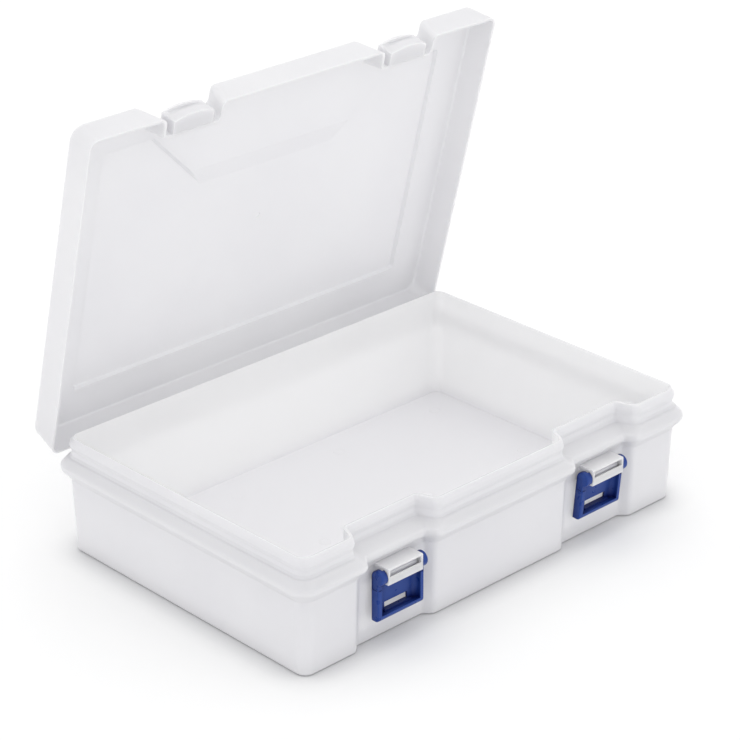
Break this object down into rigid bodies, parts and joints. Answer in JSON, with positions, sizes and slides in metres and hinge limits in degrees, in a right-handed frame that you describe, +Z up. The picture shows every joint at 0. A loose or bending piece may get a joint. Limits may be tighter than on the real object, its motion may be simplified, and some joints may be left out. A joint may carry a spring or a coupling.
{
  "type": "hinged storage box",
  "caption": "Deep open box moulded in milky plastic, with a hinged lid on steel pins and swing-up latches that hook over catch lugs in the lid's front edge.",
  "frame": {"origin": "middle of the flat underside", "axes": "+Z up, +X along the front to the right, -Y towards the front with the latches"},
  "size_m": [0.3584, 0.2687, 0.3055],
  "materials": {
    "milky_plastic": "milky moulded polypropylene, smooth with a soft sheen",
    "latch_blue": "dark blue moulded plastic, satin",
    "pin_steel": "drawn steel wire"
  },
  "bodies": {
    "root": {"tub": "milky_plastic", "latch_pin_left": "pin_steel", "latch_pin_right": "pin_steel", "hinge_pin_left": "pin_steel", "hinge_pin_right": "pin_steel"},
    "lid": {"lid": "milky_plastic"},
    "latch_left": {"latch_left": "latch_blue"},
    "latch_right": {"latch_right": "latch_blue"}
  },
  "joints": [
    {"name": "lid_hinge", "type": "hinge", "parent": "root", "child": "lid", "pos_m": [0, 0.12206, 0.06633], "axis": [-1, 0, 0], "range_deg": [-75.7, 74.3]},
    {"name": "latch_left_pivot", "type": "hinge", "parent": "root", "child": "latch_left", "pos_m": [-0.0937, -0.1177, 0.0488], "axis": [-1, 0, 0], "range_deg": [-5, 180]},
    {"name": "latch_right_pivot", "type": "hinge", "parent": "root", "child": "latch_right", "pos_m": [0.0937, -0.1177, 0.0488], "axis": [-1, 0, 0], "range_deg": [0, 185]}
  ]
}
